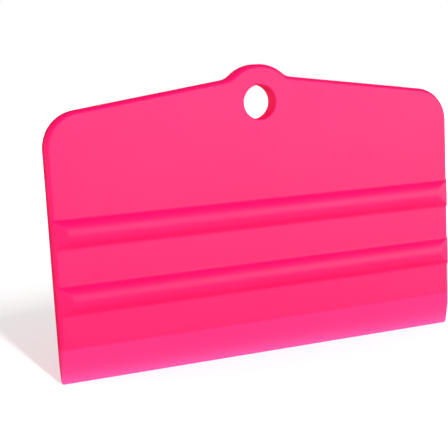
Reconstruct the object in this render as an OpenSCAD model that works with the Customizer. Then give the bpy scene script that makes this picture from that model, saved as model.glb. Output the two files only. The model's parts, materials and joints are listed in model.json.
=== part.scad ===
// Squeegee applicator: a one-piece card moulded in soft, rubbery plastic. It stands on its
// working edge, with its width along X, its thickness along Y and its height along Z. The
// front faces -Y. The origin is the middle of the working edge. Units are millimetres.

/* [Card] */
// Overall width, side edge to side edge
body_w = 150; // [120:1:180]
// Thickness of the card between the ribs
body_t = 7; // [5.5:0.25:8]
// Height at which the sloping top edge would meet the side edge
shoulder_h = 89; // [84:0.2:92]
// How far the top edge climbs from the side edge to the middle
crown_rise = 10; // [8:0.2:11]
// Radius of the two upper corners
corner_r = 12.5; // [8:0.5:16]
// Radius of the rounding round the outer edge, on both faces
edge_r = 1.5; // [1:0.1:2.7]

/* [Hanging tab] */
// Radius of the round tab on the top edge
tab_r = 14; // [13:0.5:16]
// Height that the tab stands above the point where the two slopes would meet
tab_rise = 3.2; // [2.6:0.1:5]
// Radius of the hollow where the top edge turns up into the tab
hollow_r = 6.5; // [2:0.5:9]
// Diameter of the hanging hole
hole_d = 11.8; // [6:0.5:13]
// Material left above the hanging hole
hole_wall = 7; // [6:0.2:9]
// Radius of the rounding on each rim of the hanging hole
hole_rim_r = 0.4; // [0.2:0.1:1]

/* [Grip ribs] */
// Width of each rib, measured up the face
rib_w = 9.4; // [7:0.2:11]
// How far each rib stands out from the face
rib_h = 2.2; // [1.4:0.1:2.6]
// Height of the upper rib's middle above the working edge
upper_rib_z = 51; // [46:0.2:56]
// Height of the lower rib's middle above the working edge
lower_rib_z = 28.9; // [24:0.2:32]
// Slope in degrees of the flat that each end of a rib runs down on
rib_end_slope = 24; // [18:1:50]
// Radius of the rounding at the foot of that flat
rib_foot_r = 1.3; // [0.8:0.1:2]
// How far the foot of that flat stands out from the face
rib_foot_rise = 0.6; // [0:0.1:1]
// Distance from the end of a rib to the side edge of the card
rib_end_gap = 0.2; // [0.1:0.1:2]

/* [Blade] */
// Height at which the bevels down to the working edge start
bevel_h = 12.4; // [8:0.2:16]
// Thickness left at the working edge
edge_t = 1.4; // [0.8:0.1:3]

/* [Hidden] */
$fn = 96;
skin_color = [1.0, 0.11, 0.46];
overlap = 1;
arc_step = 6;
edge_step = 9;
half_t = body_t / 2;
half_w = body_w / 2;

// The top edge slopes both ways from the middle. The corner circle touches it and the side.
slope = atan(crown_rise / half_w);
crown_z = shoulder_h + crown_rise;
corner_x = half_w - corner_r;
corner_z = crown_z - corner_x * tan(slope) - corner_r / cos(slope);

tab_z = crown_z + tab_rise - tab_r;
hole_z = crown_z + tab_rise - hole_wall - hole_d / 2;

// The hollow's circle touches the sloping edge and the tab's circle from outside, which
// gives a quadratic for its centre.
reach = tab_r + hollow_r;
lift = crown_z + hollow_r / cos(slope) - tab_z;
fall = tan(slope);
hollow_x = (lift * fall + sqrt(reach * reach * (1 + fall * fall) - lift * lift)) / (1 + fall * fall);
hollow_z = tab_z + lift - fall * hollow_x;
tab_end = atan2(hollow_z - tab_z, hollow_x);

// A rib is a round bar sunk into the face, so its radius follows from its width and height.
// The flats at its ends reach a little above the bar's ridge, so the two surfaces cross.
rib_r = (rib_w * rib_w / 4 + rib_h * rib_h) / (2 * rib_h);
rib_axis = half_t + rib_h - rib_r;
rib_half_len = half_w - rib_end_gap;
rib_end_top = half_t + rib_h + 0.1;

// Points on an arc from one angle to another, both up from the X axis.
function arc(x, z, r, from, to) =
    let (steps = ceil(abs(to - from) / arc_step))
    [for (i = [0:steps])
        let (a = from + (to - from) * i / steps)
        [x + r * cos(a), z + r * sin(a)]];

// Right-hand half of the card's outline, from the bottom up, moved in by inset. It ends on the
// middle line.
function right_outline(inset) = concat(
    [[half_w - inset, -overlap]],
    arc(corner_x, corner_z, corner_r - inset, 0, 90 - slope),
    arc(hollow_x, hollow_z, hollow_r + inset, 270 - slope, 180 + tab_end),
    arc(0, tab_z, tab_r - inset, tab_end, 90)
);

function mirrored(points) = [for (i = [len(points) - 2:-1:0]) [-points[i][0], points[i][1]]];

// Distance in from the edge and depth of each ring of points, from the back face to the front.
rings = [for (side = [-1, 1])
    for (a = side < 0 ? [-90:edge_step:0] : [0:edge_step:90])
        [edge_r * (1 - cos(a)), side * (half_t - edge_r) + edge_r * sin(a)]];

// The modules from here to hanging_hole() lie flat, with the card's height along Y and its
// front facing +Z.

// The card with its edge rounded on both faces. Each face is laid in strips between a point on
// the right and its mirror image on the left.
module card() {
    half_count = len(right_outline(0));
    count = 2 * half_count - 1;
    last = count * (len(rings) - 1);
    points = [for (ring = rings)
        let (half = right_outline(ring[0]))
        for (p = concat(half, mirrored(half)))
            [p[0], p[1], ring[1]]];
    sides = [for (start = [0:count:last - count])
        for (i = [0:count - 1])
            let (next = (i + 1) % count)
            [start + i, start + count + i, start + count + next, start + next]];
    backs = [for (i = [0:half_count - 3]) [i, i + 1, count - 2 - i, count - 1 - i]];
    fronts = [for (i = [0:half_count - 3]) last * [1, 1, 1, 1] + [i, count - 1 - i, count - 2 - i, i + 1]];
    back_tip = [half_count - 2, half_count - 1, half_count];
    front_tip = last * [1, 1, 1] + [half_count, half_count - 1, half_count - 2];
    polyhedron(points, concat(sides, backs, fronts, [back_tip, front_tip]));
}

// Right-hand half of a rib seen from above: across on X, out from the middle plane on Y. It
// ends on the middle line.
function rib_outline() =
    let (foot_y = half_t + rib_foot_rise - rib_foot_r)
    let (foot = arc(rib_half_len - rib_foot_r, foot_y, rib_foot_r, 0, 90 - rib_end_slope))
    let (top = foot[len(foot) - 1])
    let (flat_end = top[0] - (rib_end_top - top[1]) / tan(rib_end_slope))
    concat([[rib_half_len, 0]], foot, [[flat_end, rib_end_top], [0, rib_end_top]]);

// One grip rib on the front face, at a height above the working edge.
module rib(height) {
    half = rib_outline();
    intersection() {
        translate([0, height, rib_axis])
            rotate([0, 90, 0])
                cylinder(h = body_w, r = rib_r, center = true);
        translate([0, height, 0])
            rotate([90, 0, 0])
                linear_extrude(height = 2 * rib_r + overlap, center = true)
                    polygon(concat(half, mirrored(half)));
    }
}

// What the front bevel takes off: a wedge in front of the plane down to the working edge.
module bevel_cut() {
    run = (half_t - edge_t / 2) / bevel_h;
    low_y = edge_t / 2 - overlap * run;
    high_y = half_t + overlap * run;
    rotate([90, 0, 90])
        linear_extrude(height = body_w + 2 * overlap, center = true)
            polygon([
                [-overlap, low_y],
                [bevel_h + overlap, high_y],
                [-overlap, high_y]
            ]);
}

// Everything below the working edge.
module foot_cut() {
    depth = body_t + 2 * overlap;
    translate([-half_w - overlap, -depth, -depth / 2])
        cube([body_w + 2 * overlap, depth, depth]);
}

// Hanging hole with a rounded rim on both faces.
module hanging_hole() {
    r = hole_d / 2;
    translate([0, hole_z, 0]) {
        cylinder(h = body_t + 2 * overlap, r = r, center = true);
        for (side = [0, 1])
            mirror([0, 0, side])
                translate([0, 0, half_t - hole_rim_r])
                    rotate_extrude()
                        difference() {
                            square([r + hole_rim_r, hole_rim_r + overlap]);
                            translate([r + hole_rim_r, 0])
                                circle(r = hole_rim_r);
                        }
    }
}

module squeegee_body() {
    color(skin_color)
        rotate([90, 0, 0])
            difference() {
                union() {
                    card();
                    for (side = [0, 1])
                        mirror([0, 0, side])
                            for (height = [lower_rib_z, upper_rib_z])
                                rib(height);
                }
                bevel_cut();
                mirror([0, 0, 1])
                    bevel_cut();
                foot_cut();
                hanging_hole();
            }
}

squeegee_body();
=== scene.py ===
"""Squeegee applicator: one moulded card of soft hot-pink plastic, standing on a pale floor."""
import json
import math

import bmesh
import bpy
from mathutils import Matrix, Vector
from mathutils.geometry import delaunay_2d_cdt


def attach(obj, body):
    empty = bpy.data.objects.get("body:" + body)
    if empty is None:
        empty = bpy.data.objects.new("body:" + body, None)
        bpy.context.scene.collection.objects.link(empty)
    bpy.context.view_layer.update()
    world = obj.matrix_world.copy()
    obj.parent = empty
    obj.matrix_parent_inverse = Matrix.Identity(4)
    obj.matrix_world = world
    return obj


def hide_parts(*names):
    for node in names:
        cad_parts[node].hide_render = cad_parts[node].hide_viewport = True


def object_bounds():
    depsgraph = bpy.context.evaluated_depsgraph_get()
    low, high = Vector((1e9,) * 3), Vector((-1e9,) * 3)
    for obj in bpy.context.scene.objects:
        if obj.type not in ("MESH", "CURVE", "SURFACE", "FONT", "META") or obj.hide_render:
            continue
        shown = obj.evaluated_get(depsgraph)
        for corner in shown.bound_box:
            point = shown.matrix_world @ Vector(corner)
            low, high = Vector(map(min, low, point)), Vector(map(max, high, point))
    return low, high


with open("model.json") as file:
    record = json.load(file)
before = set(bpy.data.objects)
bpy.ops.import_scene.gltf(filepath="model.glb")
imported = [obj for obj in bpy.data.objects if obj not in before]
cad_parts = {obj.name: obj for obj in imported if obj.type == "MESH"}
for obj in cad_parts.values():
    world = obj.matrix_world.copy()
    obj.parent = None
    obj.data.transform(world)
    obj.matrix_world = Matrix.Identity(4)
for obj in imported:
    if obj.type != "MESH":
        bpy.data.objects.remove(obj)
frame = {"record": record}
CAD_LOW, CAD_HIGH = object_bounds()

MM = 0.001

# The card, as the frame gives it
HALF_W = CAD_HIGH.x
TOP_Z = CAD_HIGH.z
HOLE = next(m for m in frame["record"]["mounts"] if m["kind"] == "bore")
HOLE_Z = HOLE["pos_m"][2]
HOLE_R = HOLE["dims"]["r_mm"] * MM

# Sizes that the part's source gives and the frame doesn't
BODY_T = 7.0 * MM
SHOULDER_H = 89.0 * MM
CROWN_RISE = 10.0 * MM
CORNER_R = 12.5 * MM
EDGE_R = 1.5 * MM
TAB_R = 14.0 * MM
HOLLOW_R = 6.5 * MM
RIM_R = 0.4 * MM
RIB_W = 9.4 * MM
RIB_H = CAD_HIGH.y - BODY_T / 2
RIB_ZS = (28.9 * MM, 51.0 * MM)
RIB_END_SLOPE = math.radians(24)
RIB_FOOT_R = 1.3 * MM
RIB_FOOT_RISE = 0.6 * MM
RIB_END_GAP = 0.2 * MM
BEVEL_H = 12.4 * MM
EDGE_T = 1.4 * MM

# Small roundings that the mould leaves where the CAD solid has a sharp line
RIB_TOP_BLEND = 0.2 * MM
RIB_END_BLEND = 0.35 * MM
RIB_FOOT_BLEND = 0.9 * MM
BEVEL_BLEND = 0.12 * MM
WORKING_EDGE_R = 0.3 * MM
FOOT_CORNER_R = 0.9 * MM

HALF_T = BODY_T / 2
SLOPE = math.atan(CROWN_RISE / HALF_W)
CROWN_Z = SHOULDER_H + CROWN_RISE
CORNER_X = HALF_W - CORNER_R
CORNER_Z = CROWN_Z - CORNER_X * math.tan(SLOPE) - CORNER_R / math.cos(SLOPE)
TAB_Z = TOP_Z - TAB_R
RIB_R = (RIB_W ** 2 / 4 + RIB_H ** 2) / (2 * RIB_H)
RIB_AXIS = HALF_T + RIB_H - RIB_R
RIB_HALF_LEN = HALF_W - RIB_END_GAP


def hollow_centre():
    """Centre of the hollow beside the tab: its circle touches the sloping edge and the tab's."""
    reach = TAB_R + HOLLOW_R
    lift = CROWN_Z + HOLLOW_R / math.cos(SLOPE) - TAB_Z
    fall = math.tan(SLOPE)
    square = 1 + fall * fall
    x = (lift * fall + math.sqrt(reach * reach * square - lift * lift)) / square
    return x, TAB_Z + lift - fall * x


HOLLOW_X, HOLLOW_Z = hollow_centre()
TAB_END = math.atan2(HOLLOW_Z - TAB_Z, HOLLOW_X)


# ---------------------------------------------------------------- shape of the card

def spread(start, end, steps):
    """Evenly spaced numbers from start to end, both included."""
    return [start + (end - start) * i / steps for i in range(steps + 1)]


def arc(x, z, radius, start, end, steps):
    """Points on an arc round (x, z)."""
    return [(x + radius * math.cos(a), z + radius * math.sin(a)) for a in spread(start, end, steps)]


def line(start, end, steps):
    """Points between two others, leaving both out."""
    return [
        (start[0] + (end[0] - start[0]) * i / steps, start[1] + (end[1] - start[1]) * i / steps)
        for i in range(1, steps)
    ]


RIB_ROW_STEPS = 32
RIB_ROW_MARGIN = 1.9 * MM


def rib_rows():
    """Heights that follow the curve of both ribs closely."""
    reach = RIB_W / 2 + RIB_ROW_MARGIN
    return [z + dz for z in RIB_ZS for dz in spread(-reach, reach, RIB_ROW_STEPS)]


def side_rows():
    """Heights of the points on the straight side edge."""
    rows = rib_rows() + spread(2 * MM, BEVEL_H - 2 * MM, 4) + spread(BEVEL_H - MM, BEVEL_H + MM, 6)
    rows += spread(BEVEL_H + 2.5 * MM, RIB_ZS[0] - RIB_W, 2)
    rows += [(RIB_ZS[0] + RIB_ZS[1]) / 2]
    rows += spread(RIB_ZS[1] + RIB_W, CORNER_Z - 2 * MM, 9)
    return sorted(rows)


SIDE_ROWS = side_rows()

# How many steps the outline's parts are divided into
BOTTOM_STEPS = 20
FOOT_CORNER_STEPS = 4
CORNER_STEPS = 16
SLOPE_STEPS = 16
HOLLOW_STEPS = 8
TAB_STEPS = 14
LEAST_FOOT_CORNER_R = 0.1 * MM


def outline(inset, foot_inset):
    """The card's outline, moved in by inset, and by foot_inset along the working edge."""
    half_w = HALF_W - inset
    foot_r = max(FOOT_CORNER_R - inset, LEAST_FOOT_CORNER_R)
    foot_z = foot_inset + foot_r
    right = [(x, foot_inset) for x in spread(0, half_w - foot_r, BOTTOM_STEPS)][:-1]
    right += arc(half_w - foot_r, foot_z, foot_r, -math.pi / 2, 0, FOOT_CORNER_STEPS)
    right += [(half_w, z) for z in SIDE_ROWS]
    corner = arc(CORNER_X, CORNER_Z, CORNER_R - inset, 0, math.pi / 2 - SLOPE, CORNER_STEPS)
    hollow_r = HOLLOW_R + inset
    hollow = arc(HOLLOW_X, HOLLOW_Z, hollow_r, 1.5 * math.pi - SLOPE, math.pi + TAB_END, HOLLOW_STEPS)
    tab = arc(0, TAB_Z, TAB_R - inset, TAB_END, math.pi / 2, TAB_STEPS)
    right += corner + line(corner[-1], hollow[0], SLOPE_STEPS) + hollow + tab[1:]
    left = [(-x, z) for x, z in right[-2:0:-1]]
    return right + left


def smooth_max(a, b, blend):
    """The larger of a and b, with the crease between them filled over a length of blend."""
    near = max(blend - abs(a - b), 0) / blend
    return max(a, b) + near * near * blend / 4


def smooth_min(a, b, blend):
    """The smaller of a and b, with the corner between them rounded over a length of blend."""
    return -smooth_max(-a, -b, blend)


def rib_end_height(x):
    """How far the end of a rib reaches from the middle plane: a flat that slopes to a round foot."""
    centre_x, centre_y = RIB_HALF_LEN - RIB_FOOT_R, HALF_T + RIB_FOOT_RISE - RIB_FOOT_R
    flat_x = centre_x + RIB_FOOT_R * math.sin(RIB_END_SLOPE)
    if abs(x) > flat_x:
        return centre_y + math.sqrt(max(RIB_FOOT_R ** 2 - (abs(x) - centre_x) ** 2, 0))
    return centre_y + RIB_FOOT_R * math.cos(RIB_END_SLOPE) + (flat_x - abs(x)) * math.tan(RIB_END_SLOPE)


def rib_height(x, z, rib_z):
    """How far a rib reaches from the card's middle plane, or None outside the rib."""
    across = RIB_R ** 2 - (z - rib_z) ** 2
    if across <= 0 or abs(x) > RIB_HALF_LEN:
        return None
    return smooth_min(RIB_AXIS + math.sqrt(across), rib_end_height(x), RIB_END_BLEND)


def face_height(x, z, inset):
    """Height of either face above the middle plane, at x, z and a distance inset from the edge."""
    height = HALF_T
    if inset < EDGE_R:
        height += math.sqrt(max(EDGE_R ** 2 - (EDGE_R - inset) ** 2, 0)) - EDGE_R
    for rib_z in RIB_ZS:
        rib = rib_height(x, z, rib_z)
        if rib is not None:
            height = smooth_max(height, rib, RIB_TOP_BLEND if z > rib_z else RIB_FOOT_BLEND)
    bevel = EDGE_T / 2 + z * (HALF_T - EDGE_T / 2) / BEVEL_H
    if z < WORKING_EDGE_R:
        bevel += math.sqrt(max(WORKING_EDGE_R ** 2 - (WORKING_EDGE_R - z) ** 2, 0)) - WORKING_EDGE_R
    return smooth_min(height, bevel, BEVEL_BLEND)


def inside(x, z, loop):
    """Is a point inside a closed loop?"""
    hit = False
    for (x0, z0), (x1, z1) in zip(loop, loop[1:] + loop[:1]):
        if (z0 > z) != (z1 > z) and x < x0 + (z - z0) * (x1 - x0) / (z1 - z0):
            hit = not hit
    return hit


def near(x, z, loop, distance):
    """Is a point within a distance of any point of a loop, along both axes?"""
    return any(abs(x - a) < distance and abs(z - b) < distance for a, b in loop)


# How fine the mesh is
EDGE_STEPS = 12
RIB_END_STEPS = (0.02 * MM, 0.06 * MM, 0.15 * MM)
LAST_RING = 0.5 * MM
RIM_STEPS = 5
RIM_POINTS = 72
RIM_RING = 0.6 * MM
HOLE_CLEAR = 1.2 * MM
GRID = 4.0 * MM
RIB_END_GRID = 0.3 * MM
RIB_END_REACH = 7.0 * MM
CLEAR = 0.25 * MM


def edge_rings():
    """Closed loops of (x, z, height) from the outer edge to just inside its rounding."""
    rings = []
    insets = [EDGE_R * (1 - math.cos(turn)) for turn in spread(0, math.pi / 2, EDGE_STEPS)]
    insets += [RIB_END_GAP + step for step in RIB_END_STEPS]
    for inset in sorted(insets):
        rings.append((inset, outline(inset, WORKING_EDGE_R * inset / EDGE_R)))
    last = EDGE_R + LAST_RING
    rings.append((last, outline(last, 2 * WORKING_EDGE_R)))
    return [[(x, z, face_height(x, z, inset)) for x, z in loop] for inset, loop in rings]


def rim_rings():
    """Closed loops from the flat face round the hole, over its rounded rim, to its wall."""
    sizes = [(HOLE_R + RIM_R + RIM_RING, HALF_T)]
    for turn in spread(0, math.pi / 2, RIM_STEPS):
        sizes.append((HOLE_R + RIM_R * (1 - math.sin(turn)), HALF_T - RIM_R * (1 - math.cos(turn))))
    turns = spread(0, 2 * math.pi, RIM_POINTS)[:-1]
    return [
        [(r * math.cos(a), HOLE_Z + r * math.sin(a), height) for a in turns] for r, height in sizes
    ]


def face_points(border, hole_reach):
    """Points of the flat face and the ribs, between the edge and the hole."""
    ribs = rib_rows()
    plain = spread(1.2 * MM, BEVEL_H - 2 * MM, 4) + spread(BEVEL_H - MM, BEVEL_H + MM, 6)
    plain += spread(BEVEL_H + 3 * MM, RIB_ZS[0] - RIB_W, 2) + [(RIB_ZS[0] + RIB_ZS[1]) / 2]
    plain += spread(RIB_ZS[1] + RIB_W, TOP_Z - GRID, 10)
    wide = spread(-HALF_W, HALF_W, round(2 * HALF_W / GRID))
    end = spread(HALF_W - RIB_END_REACH, HALF_W, round(RIB_END_REACH / RIB_END_GRID))
    fine = [x for x in wide if abs(x) < HALF_W - RIB_END_REACH - MM] + end + [-x for x in end]
    grid = [(x, z) for z in plain for x in wide] + [(x, z) for z in ribs for x in fine]
    loop = [(x, z) for x, z, _ in border]
    return [
        (x, z, face_height(x, z, EDGE_R))
        for x, z in grid
        if inside(x, z, loop)
        and not near(x, z, loop, CLEAR)
        and math.hypot(x, z - HOLE_Z) > hole_reach
    ]


def flat_radius(loop):
    """Distance from the hole's centre to the middle of a side of a loop round it."""
    return math.hypot(loop[0][0], loop[0][1] - HOLE_Z) * math.cos(math.pi / len(loop))


def triangles(border, hole, points):
    """Joins the border, the hole's outer loop and the points between them with triangles."""
    hole_r = flat_radius(hole)
    flat = [Vector((x, z)) for x, z, _ in border + hole + points]
    rims = [(0, len(border)), (len(border), len(border) + len(hole))]
    fixed = [(i, i + 1 if i + 1 < end else start) for start, end in rims for i in range(start, end)]
    _, _, faces, origin, _, _ = delaunay_2d_cdt(flat, fixed, [], 0, 1e-8, True)
    loop = [(x, z) for x, z, _ in border]
    kept = []
    for face in faces:
        ids = [origin[i][0] for i in face]
        middle = sum((flat[i] for i in ids), Vector((0, 0))) / len(ids)
        if inside(middle.x, middle.y, loop) and math.hypot(middle.x, middle.y - HOLE_Z) > hole_r:
            kept.append(ids)
    return kept


def strip(loop_a, loop_b):
    """Faces between two closed loops of vertex numbers."""
    pairs = list(zip(loop_a, loop_b))
    return [(a, b, d, c) for (a, b), (c, d) in zip(pairs, pairs[1:] + pairs[:1])]


def card_mesh():
    """The whole card: both faces, the rounded outer edge and the hole's wall, as one closed mesh."""
    edge, rim = edge_rings(), rim_rings()
    points = face_points(edge[-1], HOLE_R + RIM_R + HOLE_CLEAR)
    ordered = edge[-1] + rim[0] + points
    inner = triangles(edge[-1], rim[0], points)
    verts, faces, outer_loops, wall_loops = [], [], [], []
    for side in (-1, 1):
        def add(loop):
            start = len(verts)
            verts.extend((x, side * height, z) for x, z, height in loop)
            return list(range(start, len(verts)))

        start = add(ordered)
        faces += [[start[i] for i in ids] for ids in inner]
        edge_ids = [add(loop) for loop in edge[:-1]] + [start[:len(edge[-1])]]
        rim_ids = [start[len(edge[-1]):len(edge[-1]) + RIM_POINTS]] + [add(loop) for loop in rim[1:]]
        for loops in (edge_ids, rim_ids):
            for a, b in zip(loops, loops[1:]):
                faces += strip(a, b)
        outer_loops.append(edge_ids[0])
        wall_loops.append(rim_ids[-1])
    faces += strip(*outer_loops) + strip(*wall_loops)
    mesh = bpy.data.meshes.new("squeegee_card")
    mesh.from_pydata(verts, [], faces)
    tidy = bmesh.new()
    tidy.from_mesh(mesh)
    bmesh.ops.recalc_face_normals(tidy, faces=tidy.faces)
    tidy.to_mesh(mesh)
    tidy.free()
    mesh.polygons.foreach_set("use_smooth", [True] * len(mesh.polygons))
    return mesh


# ---------------------------------------------------------------- material

DEEP_PINK = (0.77, 0.0, 0.088)
BRIGHT_PINK = (0.81, 0.001, 0.094)
# Painted glow: paler pink towards the working edge, standing in for the floor's reflection and light
# through the thin blade
EDGE_GLOW_PINK = (0.86, 0.07, 0.28)
# Painted light: the bevel facet's lighter pink stands in for the white floor's light bouncing onto it
BEVEL_BOUNCE_PINK = (0.9, 0.08, 0.34)
BEVEL_BOUNCE_TINT = 0.2
FLOOR_WHITE = 0.9
# Painted floor glow: weaker near the object to deepen its shadow, stronger away from it to whiten the
# floor
FLOOR_GLOW_NEAR = 0.23
FLOOR_GLOW_FAR = 0.85


def set_range(node, low, high, out_low, out_high):
    """Sets a Map Range node to turn low to high into out_low to out_high."""
    node.inputs["From Min"].default_value = low
    node.inputs["From Max"].default_value = high
    node.inputs["To Min"].default_value = out_low
    node.inputs["To Max"].default_value = out_high


def soft_plastic():
    """Hot-pink, fine-grained, slightly translucent moulded plastic, with painted light: paler towards the
    working edge and a lighter bevel facet.
    """
    material = bpy.data.materials.new("hot_pink_soft_plastic")
    material.use_nodes = True
    nodes, links = material.node_tree.nodes, material.node_tree.links
    shader = nodes["Principled BSDF"]
    place = nodes.new("ShaderNodeTexCoord")

    def noise(scale, detail):
        node = nodes.new("ShaderNodeTexNoise")
        node.inputs["Scale"].default_value = scale
        node.inputs["Detail"].default_value = detail
        links.new(place.outputs["Object"], node.inputs["Vector"])
        return node.outputs["Fac"]

    def remap(value, low, high, out_low, out_high):
        node = nodes.new("ShaderNodeMapRange")
        links.new(value, node.inputs["Value"])
        set_range(node, low, high, out_low, out_high)
        return node.outputs["Result"]

    def power(value, exponent):
        node = nodes.new("ShaderNodeMath")
        node.operation = "POWER"
        links.new(value, node.inputs[0])
        node.inputs[1].default_value = exponent
        return node.outputs["Value"]

    def mix(amount, first, second):
        node = nodes.new("ShaderNodeMix")
        node.data_type = "RGBA"
        links.new(amount, node.inputs["Factor"])
        for socket, colour in ((node.inputs["A"], first), (node.inputs["B"], second)):
            if isinstance(colour, tuple):
                socket.default_value = (*colour, 1)
            else:
                links.new(colour, socket)
        return node.outputs["Result"]

    clouds = remap(noise(24, 3), 0.3, 0.7, 0, 1)
    base = mix(clouds, DEEP_PINK, BRIGHT_PINK)
    split = nodes.new("ShaderNodeSeparateXYZ")
    links.new(place.outputs["Object"], split.inputs["Vector"])
    # Painted glow, strongest at the working edge, for the floor's reflection and light through the thin
    # blade
    edge_glow_mask = remap(split.outputs["Z"], BEVEL_H, 0.0, 0.0, 1.0)
    pale = mix(power(edge_glow_mask, 4), base, EDGE_GLOW_PINK)
    # Painted bounce light: the downward-facing bevel made lighter and pinker
    bevel = remap(split.outputs["Z"], BEVEL_H + 0.4 * MM, BEVEL_H - 0.4 * MM, 0, BEVEL_BOUNCE_TINT)
    links.new(mix(bevel, pale, BEVEL_BOUNCE_PINK), shader.inputs["Base Color"])

    links.new(remap(noise(60, 4), 0.3, 0.7, 0.38, 0.45), shader.inputs["Roughness"])
    shader.inputs["IOR"].default_value = 1.4
    shader.inputs["Specular IOR Level"].default_value = 0.36
    shader.inputs["Subsurface Weight"].default_value = 0.08
    shader.inputs["Subsurface Radius"].default_value = (1.0, 0.15, 0.3)
    shader.inputs["Subsurface Scale"].default_value = 2.0 * MM

    grain = nodes.new("ShaderNodeBump")
    grain.inputs["Strength"].default_value = 0.12
    grain.inputs["Distance"].default_value = 0.05 * MM
    links.new(noise(3500, 2), grain.inputs["Height"])
    sink = nodes.new("ShaderNodeBump")
    sink.inputs["Strength"].default_value = 0.3
    sink.inputs["Distance"].default_value = 0.1 * MM
    links.new(noise(90, 2), sink.inputs["Height"])
    links.new(grain.outputs["Normal"], sink.inputs["Normal"])
    links.new(sink.outputs["Normal"], shader.inputs["Normal"])
    return material


def pale_floor():
    """White surface that glows with painted light of its own, more so away from the object: the weaker
    glow near it is painted shade.
    """
    material = bpy.data.materials.new("pale_floor")
    material.use_nodes = True
    nodes, links = material.node_tree.nodes, material.node_tree.links
    shader = nodes["Principled BSDF"]
    shader.inputs["Base Color"].default_value = (FLOOR_WHITE, FLOOR_WHITE, FLOOR_WHITE, 1)
    shader.inputs["Emission Color"].default_value = (1, 1, 1, 1)
    place = nodes.new("ShaderNodeTexCoord")
    reach = nodes.new("ShaderNodeVectorMath")
    reach.operation = "LENGTH"
    links.new(place.outputs["Object"], reach.inputs[0])
    # Painted light and shade: the floor's glow grows with distance from the object
    glow = nodes.new("ShaderNodeMapRange")
    links.new(reach.outputs["Value"], glow.inputs["Value"])
    set_range(glow, 0.22, 0.6, FLOOR_GLOW_NEAR, FLOOR_GLOW_FAR)
    links.new(glow.outputs["Result"], shader.inputs["Emission Strength"])
    shader.inputs["Roughness"].default_value = 0.9
    shader.inputs["Specular IOR Level"].default_value = 0.1
    return material


# ---------------------------------------------------------------- object

def add_object(name, data):
    thing = bpy.data.objects.new(name, data)
    bpy.context.scene.collection.objects.link(thing)
    return thing


def add_card():
    """The visible card, in place of the CAD solid and with its material slot."""
    mesh = card_mesh()
    mesh.materials.append(soft_plastic())
    card = add_object("squeegee_card", mesh)
    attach(card, "root")
    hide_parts("squeegee_body")


# ---------------------------------------------------------------- stage, light and camera

FLOOR_SIZE = 6.0


def add_floor():
    """Floor under the working edge, which reflections don't see."""
    half = FLOOR_SIZE / 2
    mesh = bpy.data.meshes.new("floor")
    corners = [(x, y, CAD_LOW.z) for x, y in ((-half, -half), (half, -half), (half, half), (-half, half))]
    mesh.from_pydata(corners, [], [(0, 1, 2, 3)])
    mesh.materials.append(pale_floor())
    floor = add_object("floor", mesh)
    floor.visible_glossy = False


def direction(azimuth, elevation):
    """Unit vector towards the front (-Y), turned by azimuth towards +X and raised by elevation."""
    a, e = math.radians(azimuth), math.radians(elevation)
    return Vector((math.sin(a) * math.cos(e), -math.cos(a) * math.cos(e), math.sin(e)))


def add_light(name, towards, distance, width, height, power):
    """Soft rectangular light in a direction from the card's middle, facing the card."""
    light = bpy.data.lights.new(name, "AREA")
    light.shape = "RECTANGLE"
    light.size, light.size_y = width, height
    light.energy = power
    lamp = add_object(name, light)
    lamp.location = (CAD_LOW + CAD_HIGH) / 2 + towards * distance
    lamp.rotation_euler = towards.to_track_quat("Z", "Y").to_euler()
    return lamp


def add_lights():
    """A tall key strip that casts the shadow, a panel for the front's sheen and two soft fills."""
    key = add_light("key", direction(4, 32), distance=1.5, width=0.1, height=0.6, power=23.0)
    key.visible_glossy = False
    panel = add_light("front_panel", direction(38, 3), distance=1.0, width=2.0, height=0.5, power=14.3)
    panel.visible_diffuse = False
    fill = add_light("back_fill", direction(158, 12), distance=1.5, width=1.2, height=0.6, power=9.0)
    fill.visible_glossy = False
    side = add_light("side_fill", direction(-112, 8), distance=1.5, width=0.6, height=0.6, power=6.0)
    side.visible_glossy = False


def set_world():
    """Studio with bright walls and a dimmer ceiling."""
    world = bpy.data.worlds.new("studio")
    world.use_nodes = True
    nodes, links = world.node_tree.nodes, world.node_tree.links
    place = nodes.new("ShaderNodeTexCoord")
    split = nodes.new("ShaderNodeSeparateXYZ")
    links.new(place.outputs["Generated"], split.inputs["Vector"])
    fade = nodes.new("ShaderNodeMapRange")
    links.new(split.outputs["Z"], fade.inputs["Value"])
    set_range(fade, 0.35, 0.65, 1.0, 0.3)
    nodes["Background"].inputs["Color"].default_value = (1, 1, 1, 1)
    links.new(fade.outputs["Result"], nodes["Background"].inputs["Strength"])
    world.cycles_visibility.glossy = False
    bpy.context.scene.world = world
    bpy.context.scene.view_settings.view_transform = "Standard"


# Camera angles in degrees, distance in metres, lens in millimetres, and the point it looks at as
# shares of the card's width and height
CAMERA_YAW = 20.81
CAMERA_PITCH = 9.09
CAMERA_ROLL = -2.99
CAMERA_DISTANCE = 0.3349
CAMERA_LENS = 77.34
CAMERA_TARGET = (-0.0951, 0.469)


def add_camera():
    """Camera in front of the card's left half, at about the height of the hanging hole."""
    across, up = CAMERA_TARGET
    target = Vector((across * 2 * HALF_W, 0, up * TOP_Z))
    back = direction(-CAMERA_YAW, CAMERA_PITCH)
    right = Vector((0, 0, 1)).cross(back).normalized()
    turn = Matrix((right, back.cross(right), back)).transposed().to_4x4()
    camera = bpy.data.cameras.new("camera")
    camera.lens = CAMERA_LENS
    view = add_object("camera", camera)
    place = Matrix.Translation(target + back * CAMERA_DISTANCE)
    view.matrix_world = place @ turn @ Matrix.Rotation(math.radians(CAMERA_ROLL), 4, "Z")
    bpy.context.scene.camera = view


add_card()
add_floor()
add_lights()
set_world()
add_camera()
